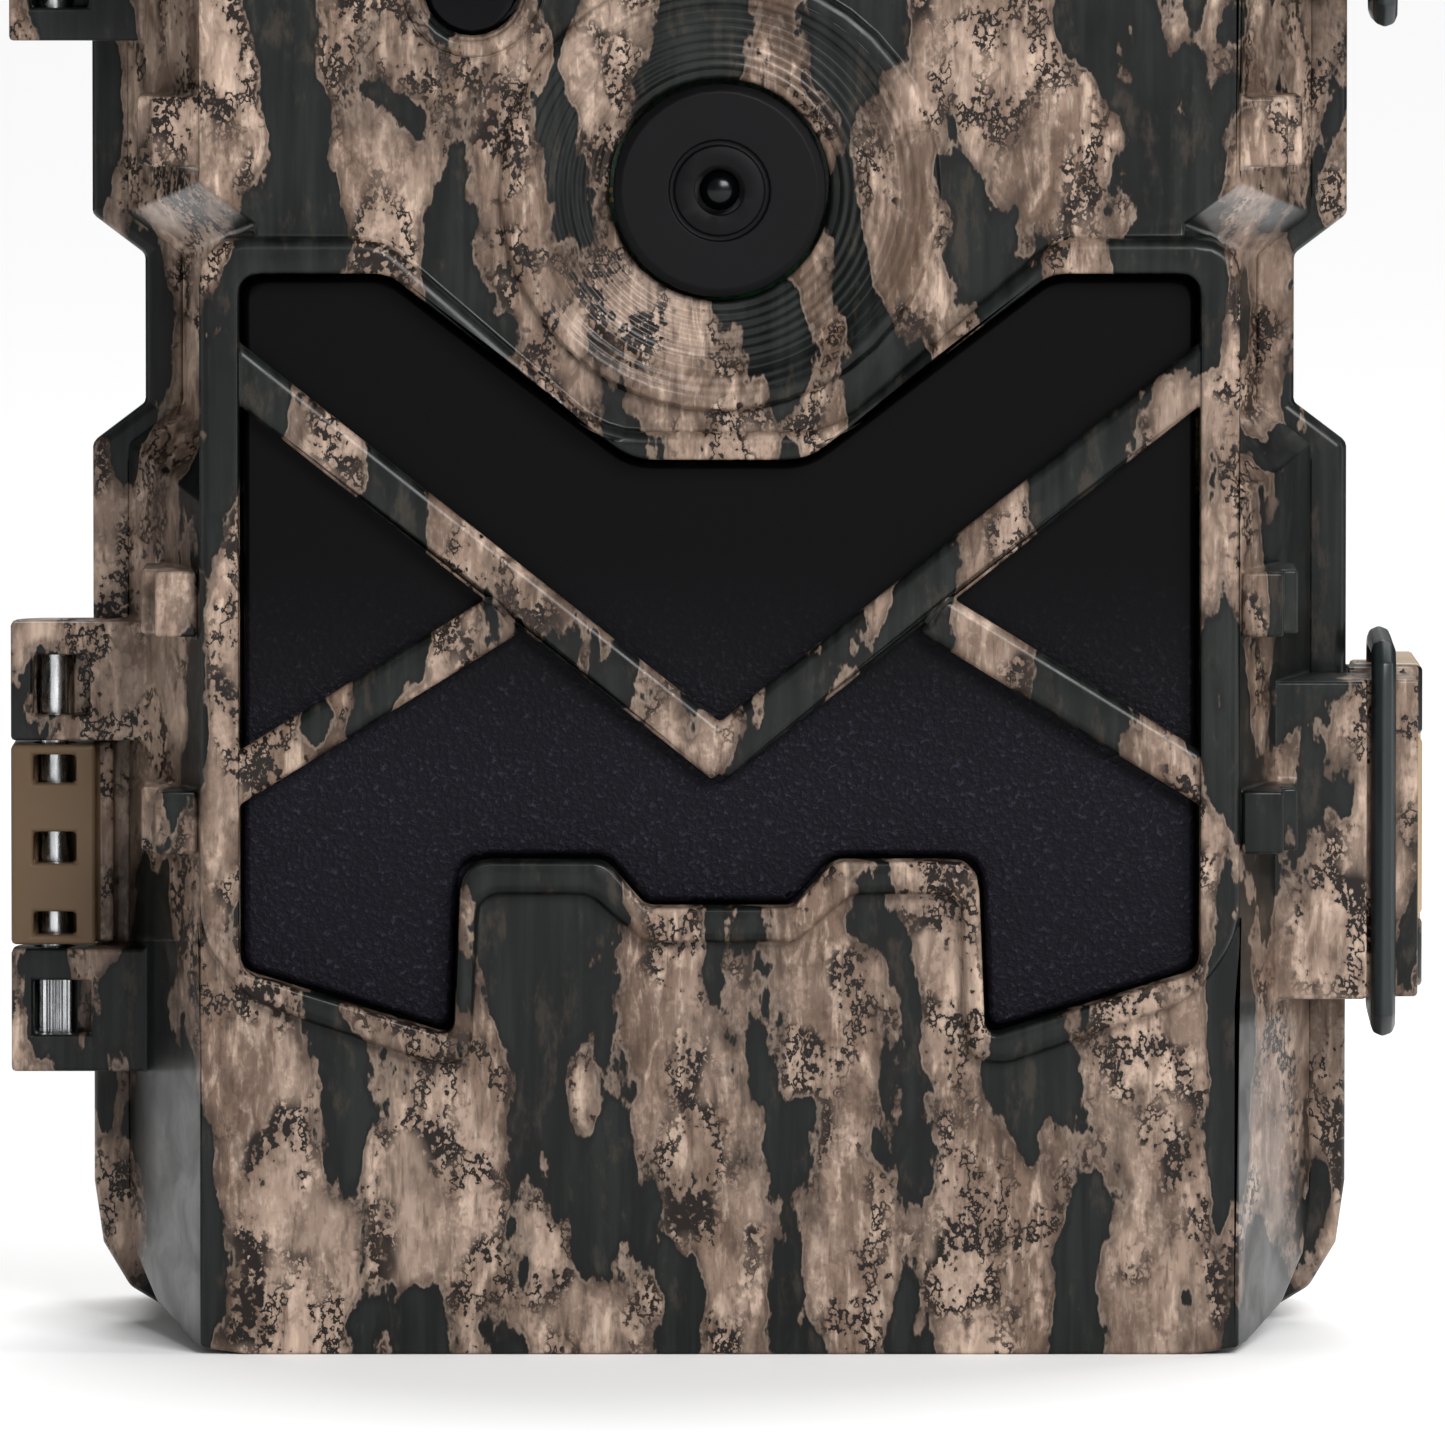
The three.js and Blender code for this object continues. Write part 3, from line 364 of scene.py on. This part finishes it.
# %% Finishes with their own pattern
def stippled_window():
    """Near-black sheet: smooth above; below, stippled dark purple grey with painted sheen and
    glints.
    """
    g = Graph("stippled_window")
    height = g.axis(2)
    lower = g.step(height, 56, 38)
    grain = g.noise(g.place((2.6, 2.6, 2.6)), 2.0, 0.65)
    # painted glints: paler specks painted on the tops of the stipple, where light would glance
    # off
    painted_glints = g.times(g.step(grain, 0.55, 0.75), lower)
    # below: partly the window's own dark purple grey, partly a painted sheen that pales it
    # towards the bottom
    colour = g.blend(lower, "#030304", "#0d0c12")
    colour = g.blend(g.times(painted_glints, 0.8), colour, "#282530")
    normal = g.bump(g.times(grain, lower), 0.14)
    return g.finish(colour, g.step(height, 58, 30, (0.36, 0.50)), normal,
                    Specular_IOR_Level=0.06)


def board_green():
    """Green lacquer over copper tracks: tracks are the sides of square cells, a shade paler."""
    g = Graph("board_green")
    cells = g.make("ShaderNodeTexVoronoi", feature="F1", distance="CHEBYCHEV")
    g.feed(cells.inputs["Vector"], g.place((0.45, 0.45, 0.45)))
    track = g.step(cells.outputs["Distance"], 0.40, 0.44)
    holes = g.step(g.cells(g.place((0.6, 0.6, 0.6)), "F1"), 0.13, 0.09)
    colour = g.blend(track, "#0c3a20", "#1b6238")
    colour = g.blend(holes, colour, "#b99a55")
    return g.finish(colour, 0.35, g.bump(track, 0.03), Coat_Weight=0.4)


def cell_sleeve():
    """Shrunk sleeve of a battery cell: slate grey with a paler band near its upper end."""
    g = Graph("cell_sleeve")
    z = g.axis(2)
    bands = [g.times(g.step(z, low, low + BAND_EDGE), g.step(z, high, high - BAND_EDGE))
             for low, high in CELL_BANDS]
    band = g.join(*bands, "MAXIMUM")
    wear = g.noise(g.place((0.2, 0.2, 0.2)), 4.0, 0.6)
    colour = g.blend(g.step(wear, 0.35, 0.65), "#1f272e", "#2b353e")
    colour = g.blend(band, colour, "#9aa0a2")
    wrinkle = g.noise(g.place((0.9, 0.9, 0.08)), 2.0, 0.5)
    return g.finish(colour, g.step(wear, 0.3, 0.7, (0.22, 0.32)), g.bump(wrinkle, 0.05),
                    Coat_Weight=0.4)


BAND_BELOW, BAND_LONG, BAND_EDGE = 4.0, 8.0, 0.15   # from a cell's top, in millimetres
CELL_BANDS = []
for tier in ("lower", "upper"):
    band_top = span(f"cell_{tier}_1")[1][2] / MM - BAND_BELOW
    CELL_BANDS.append((band_top - BAND_LONG, band_top))
print("cell bands:", [tuple(round(float(z), 1) for z in band) for band in CELL_BANDS])

# %% [markdown]
# ## One finish for each slot
# The CAD record names a material slot for every piece. This table says what each slot looks
# like, so a piece only has to know its slot. Black parts get a low specular level, because under
# soft light an ordinary gloss turns them grey.

# %% The table of finishes
FINISH = {
    "camo_shell": BARK,
    "window_black": moulded("window_black", "#040406", 0.3, 1.5, 0.004, Specular_IOR_Level=0.08),
    "window_stippled": stippled_window(),
    "lens_black": moulded("lens_black", "#060608", 0.5, 0.5, 0.006, Specular_IOR_Level=0.09),
    "tan_plastic": moulded("tan_plastic", "#957e62", 0.42, 0.6, 0.015),
    "rubber_black": moulded("rubber_black", "#17181a", 0.72, 0.35, 0.03),
    "steel_pin": turned_metal("steel_pin", "#c2c4c6", 0.25),
    "wire_dark": moulded("wire_dark", "#12191b", 0.34, 0.5, 0.006, Specular_IOR_Level=0.4),
    "brass_insert": turned_metal("brass_insert", "#b8924e", 0.3),
    "contact_nickel": turned_metal("contact_nickel", "#cfccc4", 0.24),
    "circuit_board": board_green(),
    "cell_wrap": cell_sleeve(),
    "charcoal_plastic": moulded("charcoal_plastic", "#26282a", 0.55, 0.4, 0.03),
    "fresnel_white": moulded("fresnel_white", "#dfe4ea", 0.45, 0.5, 0.02),
    "glass": moulded("glass", "#020304", 0.22, 3.0, 0.001, Specular_IOR_Level=0.2),
}
print("made", len(FINISH), "finishes")

# %% [markdown]
# ## Rounded edges on the CAD pieces
# Moulded plastic has no knife edges, and it is the thin highlight on each edge that makes it
# look moulded. The CAD meshes are loose triangles, so each is copied, its doubles are merged,
# and its flat areas are cut again into better shaped triangles, because a bevel tears long
# slivers open. Left as large faces with holes, they couldn't be filled again once their edges
# have moved. A Bevel modifier would clamp the whole piece to what its shortest edge allows, so
# the bevel is made in bmesh without that clamp, and the bits that it leaves are cleaned up.

# %% Make a rounded copy of a CAD piece
SHARP_DEG = 24                   # edges sharper than this are rounded
SLIVER = 0.01 * MM ** 2          # faces smaller than this are not worth rounding


def put(name, mesh):
    """A mesh as an object at the origin of the scene."""
    made = bpy.data.objects.new(name, mesh)
    bpy.context.scene.collection.objects.link(made)
    return made


def moulded_copy(node, width):
    """A merged copy of a CAD node with every sharp edge rounded over width in two steps.
    Corners are then held inside the node's own box, so the piece never outgrows its solid."""
    shape = bmesh.new()
    shape.from_mesh(frame["nodes"][node].data)
    bmesh.ops.remove_doubles(shape, verts=shape.verts, dist=0.005 * MM)
    bmesh.ops.dissolve_limit(shape, angle_limit=math.radians(0.6), verts=shape.verts,
                             edges=shape.edges)
    bmesh.ops.triangulate(shape, faces=shape.faces, quad_method="BEAUTY", ngon_method="BEAUTY")
    limit = math.radians(SHARP_DEG)
    sharp = [e for e in shape.edges if e.is_manifold and e.calc_face_angle(0.0) > limit
             and min(f.calc_area() for f in e.link_faces) > SLIVER]
    bmesh.ops.bevel(shape, geom=sharp, offset=width, segments=2, profile=0.5,
                    affect="EDGES", clamp_overlap=False)
    bmesh.ops.remove_doubles(shape, verts=shape.verts, dist=0.01 * MM)
    bmesh.ops.dissolve_degenerate(shape, dist=0.005 * MM, edges=shape.edges)
    mesh = bpy.data.meshes.new(node + "_moulded")
    shape.to_mesh(mesh)
    shape.free()
    low, high, _ = span(node)
    places = np.empty(3 * len(mesh.vertices), np.float32)
    mesh.vertices.foreach_get("co", places)
    inside = np.clip(places.reshape(-1, 3), low, high)
    mesh.vertices.foreach_set("co", inside.astype(np.float32).ravel())
    mesh.polygons.foreach_set("use_smooth", [True] * len(mesh.polygons))
    mesh.set_sharp_from_angle(angle=math.radians(40))
    made = put(node + "_moulded", mesh)
    even = made.modifiers.new("even_normals", "WEIGHTED_NORMAL")
    even.keep_sharp = True
    return made


record = frame["record"]
slot_of = {entry["node"]: entry["material_slot"] for entry in record["subparts"]}
body_of = {node: body for body, nodes in record["behaviour"]["bodies"].items() for node in nodes}

print("finishes on record:", len(set(slot_of.values())), "for", len(slot_of), "nodes")

# %% Round every piece and let it stand for its node
ROUNDING = {"front_shell": 0.28, "rear_shell": 0.30, "lens_cover": 0.12,
            "latch_lever_lower": 0.3, "latch_lever_upper": 0.3,
            "inner_panel": 0.25}            # millimetres, on the pieces that are looked at
SMALL_ROUNDING, THIN_SHARE = 0.15, 0.1      # others: 0.15 mm, or a tenth of their thinnest side

faces = 0
for node in frame["nodes"]:
    low, high, _ = span(node)
    small = min(SMALL_ROUNDING, THIN_SHARE * float((high - low).min()) / MM)
    piece = moulded_copy(node, ROUNDING.get(node, small) * MM)
    piece.data.materials.append(FINISH[slot_of[node]])
    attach(piece, body_of[node])
    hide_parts(node)
    faces += len(piece.data.polygons)
print("rounded", len(frame["nodes"]), "pieces,", faces, "faces")

# %% [markdown]
# ## Fine rings in the lens dish
# Round the lens the moulding is a shallow dish with about nine fine grooves, left by the
# turned insert of the mould. In CAD the dish is plain. The rings are a ripple on its profile,
# so a thin ring is turned from that profile: the radius runs along one side of the grid and the
# turn along the other, and the ring's back is sunk in the dish so that it closes.

# %% Turn a closed ring from a profile
def outward(mesh):
    """Turn every face of a closed mesh to point outwards."""
    shape = bmesh.new()
    shape.from_mesh(mesh)
    bmesh.ops.recalc_face_normals(shape, faces=shape.faces)
    shape.to_mesh(mesh)
    shape.free()


def turned_ring(name, radius, depth, centre_x, centre_z, turns=160):
    """Each profile point (radius, y) is swept once round the Y axis through the given centre."""
    angle = np.linspace(0, 2 * np.pi, turns, endpoint=False)
    around, r = np.meshgrid(angle, radius, indexing="ij")
    y = np.broadcast_to(depth, r.shape)
    points = np.stack([centre_x + r * np.cos(around), y, centre_z + r * np.sin(around)], -1)
    count = len(radius)
    i, j = np.meshgrid(np.arange(turns), np.arange(count), indexing="ij")
    ahead, beside = (i + 1) % turns * count, (j + 1) % count
    quads = np.stack([i * count + j, i * count + beside, ahead + beside, ahead + j], -1)
    mesh = bpy.data.meshes.new(name)
    mesh.from_pydata(points.reshape(-1, 3).tolist(), [], quads.reshape(-1, 4).tolist())
    outward(mesh)
    mesh.polygons.foreach_set("use_smooth", [True] * len(mesh.polygons))
    return put(name, mesh)


def add_piece(piece, body, slot, finish=None):
    """A new piece rides on a body and wears a slot's finish, or a finish of its own."""
    piece.data.materials.append(finish or FINISH[slot])
    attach(piece, body)


print("the ring's grid joins up both round the lens and round its own section")

# %% The rings of the dish
DISH_R = np.array([8.15, 10.0, 12.6, 14.1]) * MM       # the dish's profile: radius
DISH_Y = np.array([-27.6, -27.9, -28.6, -29.5]) * MM   # and where its surface stands there
GROOVE_PITCH, GROOVE_DEPTH = 0.62 * MM, 0.10 * MM
PROUD, SUNK = 0.01 * MM, 0.3 * MM                      # ring's face and back, off the dish

radius = np.linspace(8.3, 13.95, 84) * MM
wave = (1 - np.cos(2 * np.pi * (radius - radius[0]) / GROOVE_PITCH)) / 2
dish = np.interp(radius, DISH_R, DISH_Y)
rings = turned_ring("dish_rings", np.append(radius, radius[[-1, 0]]),
                    np.append(dish - PROUD - GROOVE_DEPTH * wave, dish[[-1, 0]] + SUNK),
                    LENS_X, LENS_Z)
add_piece(rings, "front_door", "camo_shell")
print("dish rings:", round(float(np.ptp(radius) / GROOVE_PITCH), 1), "grooves,",
      len(rings.data.polygons), "faces")

# %% [markdown]
# ## Ribbed ends on the hinge pins
# A pressed-in hinge pin has a ribbed end that bites into the plastic, and it shows in the window
# of the lower lug. The ribs are a ripple on the pin's radius as it goes round, so the end is a
# short tube whose radius is a cosine of the angle. It stands inside the lug's bore.

# %% Ribbed pin ends
def ribbed_tube(name, radius, ripple, ribs, centre, z_range, turns=192):
    """radius + ripple * cos(ribs * angle), carried straight up, with both ends closed."""
    angle = np.linspace(0, 2 * np.pi, turns, endpoint=False)
    r = radius + ripple * np.cos(ribs * angle)
    ends = [np.stack([centre[0] + r * np.cos(angle), centre[1] + r * np.sin(angle),
                      np.full(turns, z)], -1) for z in z_range]
    caps = [[(centre[0], centre[1], z)] for z in z_range]
    points = np.concatenate(ends + caps)
    i = np.arange(turns)
    j = (i + 1) % turns
    sides = np.stack([i, j, j + turns, i + turns], -1).tolist()
    low_cap = np.stack([j, i, np.full(turns, 2 * turns)], -1).tolist()
    high_cap = np.stack([i + turns, j + turns, np.full(turns, 2 * turns + 1)], -1).tolist()
    mesh = bpy.data.meshes.new(name)
    mesh.from_pydata(points.tolist(), [], sides + low_cap + high_cap)
    return put(name, mesh)


RIB_RADIUS, RIB_RIPPLE, RIBS = 1.12 * MM, 0.09 * MM, 16
RIBBED_LENGTH, SMOOTH_SHARE = 6.2 * MM, 0.05   # the first twentieth of the end stays smooth
for tier, outer_end, inward in (("lower", 0, 1), ("upper", 1, -1)):
    *ends, pin_middle = span("hinge_pin_" + tier)
    end, reach = ends[outer_end][2], inward * RIBBED_LENGTH
    piece = ribbed_tube("pin_ribs_" + tier, RIB_RADIUS, RIB_RIPPLE, RIBS, pin_middle,
                        sorted((end + SMOOTH_SHARE * reach, end + reach)))
    add_piece(piece, "rear_case", "steel_pin")
    print("ribbed end of the", tier, "pin:", len(piece.data.polygons), "faces")

# %% [markdown]
# ## Marks on the keys and a frame round the screen
# The inside of the door has five keys and a small screen. Each key carries one plain raised mark:
# an arrow that points its way, or a ring for the middle key. The screen's edge has a low frame.
# Both are outlines given thickness: a ring of points is repeated at two depths and joined up.

# %% Flat rings with thickness
def raised_ring(name, outer, inner, plane_y, height):
    """Two closed outlines in XZ, joined into a band that stands height towards +Y off plane_y."""
    count = len(outer)
    loops = [(outer, 0.0), (outer, height), (inner, height), (inner, 0.0)]
    points = np.concatenate([np.stack([loop[:, 0], np.full(count, plane_y + up), loop[:, 1]], -1)
                             for loop, up in loops])
    i = np.arange(count)
    j = (i + 1) % count
    faces = [np.stack([i + k * count, j + k * count, j + (k + 1) % 4 * count,
                       i + (k + 1) % 4 * count], -1) for k in range(4)]
    mesh = bpy.data.meshes.new(name)
    mesh.from_pydata(points.tolist(), [], np.concatenate(faces).tolist())
    outward(mesh)
    return put(name, mesh)


MARK = moulded("key_mark", "#d9dad6", 0.5, 0.3, 0.004)
MARK_OUTER, MARK_INNER, MARK_SUNK, MARK_HEIGHT = 1.5 * MM, 0.8 * MM, 0.05 * MM, 0.10 * MM
for key, sides, turn in (("right", 3, 0), ("up", 3, 90), ("left", 3, 180), ("down", 3, 270),
                         ("ok", 32, 0)):
    _, key_high, key_middle = span("key_" + key)
    angle = np.linspace(0, 2 * np.pi, sides, endpoint=False) + math.radians(turn)
    unit = np.stack([np.cos(angle), np.sin(angle)], -1)
    centre = key_middle[[0, 2]]
    mark = raised_ring("mark_" + key, centre + MARK_OUTER * unit, centre + MARK_INNER * unit,
                       key_high[1] - MARK_SUNK, MARK_HEIGHT)
    add_piece(mark, "key_" + key, "charcoal_plastic", MARK)
    print("mark on the", key, "key:", sides, "sides")

# %% The screen's frame
FRAME_OVERLAP, FRAME_BAND = 2.0 * MM, 1.6 * MM   # over the screen's edge, and its own width
panel_high = span("inner_panel")[1]
screen_low, screen_high, _ = span("screen")
bottom_left, top_right = screen_low[[0, 2]], screen_high[[0, 2]]
square = np.array([[0, 0], [1, 0], [1, 1], [0, 1]])
inwards = 1 - 2 * square
opening = bottom_left + (top_right - bottom_left) * square + inwards * FRAME_OVERLAP
screen_frame = raised_ring("screen_frame", opening - inwards * FRAME_BAND, opening,
                           panel_high[1] - 0.1 * MM, 0.5 * MM)
add_piece(screen_frame, "front_door", "window_black")
print("screen opening", np.round((opening[2] - opening[0]) / MM, 1), "mm")

# %% [markdown]
# ## Studio
# A plain pale floor that runs on behind, with two black cards behind the object and to its
# sides, which a studio calls flags. Only reflections see them. Flanks that are seen at a
# grazing angle mirror what is behind them, and the flags darken that a little.

# %% Floor and cards
def stage_sheet(name, corners, finish):
    """One flat four-cornered sheet of the studio."""
    mesh = bpy.data.meshes.new(name)
    mesh.from_pydata(corners, [], [(0, 1, 2, 3)])
    mesh.materials.append(finish)
    made = put(name, mesh)
    return made


FLOOR_REACH = 20.0
CARD_IN, CARD_OUT, CARD_LOW, CARD_HIGH, CARD_Y = 0.09, 0.60, 0.002, 0.50, 0.30
stage_sheet("studio_floor", [(x * FLOOR_REACH, y * FLOOR_REACH, 0.0)
                             for x, y in ((-1, -1), (1, -1), (1, 1), (-1, 1))],
            Graph("studio_floor").finish("#f2f2f2", 0.7))
black = Graph("black_flag").finish("#010101", 0.9, Specular_IOR_Level=0.0)
for name, left, right in (("flag_left", -CARD_OUT, -CARD_IN), ("flag_right", CARD_IN, CARD_OUT)):
    card = stage_sheet(name, [(left, CARD_Y, CARD_LOW), (right, CARD_Y, CARD_LOW),
                              (right, CARD_Y, CARD_HIGH), (left, CARD_Y, CARD_HIGH)], black)
    card.visible_camera = card.visible_diffuse = card.visible_shadow = False
print("floor", 2 * FLOOR_REACH, "m wide, two cards", CARD_Y, "m behind")

# %% [markdown]
# ## Lights
# The main light is one large soft box in front, to the right and above. A narrow strip on each
# side draws the edges. A very broad sun stands for the ceiling: it comes from behind, so the
# soft shadow falls towards the viewer. A dim white surround fills what is left. The view
# transform is Standard, because the filmic ones turn a white floor grey.

# %% Lights
def soft_light(name, place, target, size, power):
    """A rectangular area light of the given size in metres, aimed at target."""
    data = bpy.data.lights.new(name, "AREA")
    data.shape = "RECTANGLE"
    data.size, data.size_y = size
    data.energy = power
    made = put(name, data)
    made.location = place
    aim = np.array(target) - np.array(place)
    made.rotation_euler = (math.atan2(math.hypot(aim[0], aim[1]), -aim[2]), 0,
                           math.atan2(aim[1], aim[0]) - math.pi / 2)


MIDDLE = (0.0, 0.0, 0.06)        # every light is aimed here
soft_light("key_front", (0.40, -1.05, 0.62), MIDDLE, (0.6, 0.4), 19)
soft_light("strip_right", (0.75, -0.15, 0.30), MIDDLE, (0.2, 0.7), 2.2)
soft_light("strip_left", (-0.80, -0.10, 0.30), MIDDLE, (0.10, 0.7), 0.7)
sky = bpy.data.lights.new("sky", "SUN")
sky.energy = 2.9
sky.angle = math.radians(50)
put("sky", sky).rotation_euler = (math.radians(-33), math.radians(6), 0)
world = bpy.data.worlds.new("surround")
world.use_nodes = True
surround = world.node_tree.nodes["Background"]
surround.inputs["Color"].default_value = (1, 1, 1, 1)
surround.inputs["Strength"].default_value = 0.24
bpy.context.scene.world = world
bpy.context.scene.view_settings.view_transform = "Standard"
print("lights:", [light.name for light in bpy.data.lights])

# %% [markdown]
# ## Camera
# The view is straight from the front and a little from above, close on the lower two thirds. A
# long lens from 1.2 m keeps the sides nearly parallel. The lens follows from the width that the
# view should have at the aim point: sensor width times distance over that width.

# %% Camera
PITCH = math.radians(3.5)        # how far the camera looks down
DISTANCE = 1.2                   # metres from the aim point
AIM = np.array([0.0002, -0.028, 0.0437])
FRAME_WIDTH = 0.0996             # width of the view at the aim point, metres
SENSOR = 36.0                    # width of the sensor, millimetres

lens = bpy.data.cameras.new("camera")
lens.sensor_width = SENSOR
lens.lens = SENSOR * DISTANCE / FRAME_WIDTH
camera = put("camera", lens)
camera.location = AIM + DISTANCE * np.array([0, -math.cos(PITCH), math.sin(PITCH)])
camera.rotation_euler = (math.pi / 2 - PITCH, 0, 0)
bpy.context.scene.camera = camera
print(f"lens {lens.lens:.0f} mm from {DISTANCE} m")
